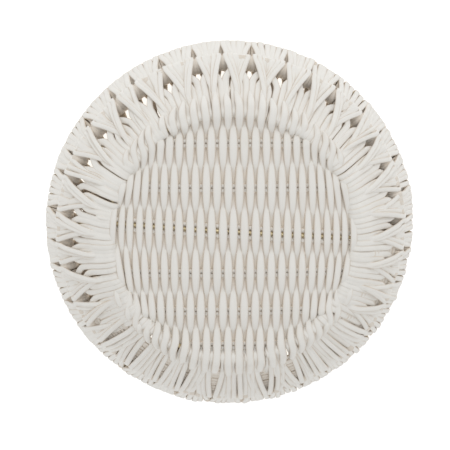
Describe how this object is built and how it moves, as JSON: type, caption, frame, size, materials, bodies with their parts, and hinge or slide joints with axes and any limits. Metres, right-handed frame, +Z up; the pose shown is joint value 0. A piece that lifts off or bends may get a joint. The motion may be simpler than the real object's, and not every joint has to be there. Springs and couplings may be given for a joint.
{
  "type": "chair seat pad",
  "caption": "Round white woven cotton cord seat pad on a brass wire frame, with a raised woven seat and a sloping wound edge.",
  "frame": {"origin": "middle of the base ring, on the surface that the pad rests on", "axes": "+Z up through the middle of the seat; +Y along the warp cords; +X across them, along the weft cords"},
  "size_m": [0.4, 0.4, 0.092],
  "materials": {
    "cotton_cord": "matt off-white twisted cotton cord",
    "brass_wire": "satin brass-plated wire"
  },
  "bodies": {
    "root": {"lower_hoop": "brass_wire", "upper_hoop": "brass_wire", "seat_hoop": "brass_wire", "rib_01": "brass_wire", "rib_02": "brass_wire", "rib_03": "brass_wire", "rib_04": "brass_wire", "rib_05": "brass_wire", "rib_06": "brass_wire", "rib_07": "brass_wire", "rib_08": "brass_wire", "rib_09": "brass_wire", "rib_10": "brass_wire", "rib_11": "brass_wire", "rib_12": "brass_wire", "crossbar": "brass_wire", "middle_weft_1": "cotton_cord", "middle_weft_2": "cotton_cord", "weft_pair_1": "cotton_cord", "weft_pair_2": "cotton_cord", "weft_pair_3": "cotton_cord", "weft_pair_4": "cotton_cord", "weft_pair_5": "cotton_cord", "warp_band_01": "cotton_cord", "warp_band_02": "cotton_cord", "warp_band_03": "cotton_cord", "warp_band_04": "cotton_cord", "warp_band_05": "cotton_cord", "warp_band_06": "cotton_cord", "warp_band_07": "cotton_cord", "warp_band_08": "cotton_cord", "warp_band_09": "cotton_cord", "warp_band_10": "cotton_cord", "warp_band_11": "cotton_cord", "warp_band_12": "cotton_cord", "apron_winding_01": "cotton_cord", "apron_winding_02": "cotton_cord", "apron_winding_03": "cotton_cord", "apron_winding_04": "cotton_cord", "apron_winding_05": "cotton_cord", "apron_winding_06": "cotton_cord", "apron_winding_07": "cotton_cord", "apron_winding_08": "cotton_cord", "apron_winding_09": "cotton_cord", "apron_winding_10": "cotton_cord", "apron_winding_11": "cotton_cord", "apron_winding_12": "cotton_cord", "rim_winding_01": "cotton_cord", "rim_winding_02": "cotton_cord", "rim_winding_03": "cotton_cord", "rim_winding_04": "cotton_cord", "rim_winding_05": "cotton_cord", "rim_winding_06": "cotton_cord", "rim_winding_07": "cotton_cord", "rim_winding_08": "cotton_cord", "rim_winding_09": "cotton_cord", "rim_winding_10": "cotton_cord", "rim_winding_11": "cotton_cord", "rim_winding_12": "cotton_cord"}
  },
  "joints": []
}
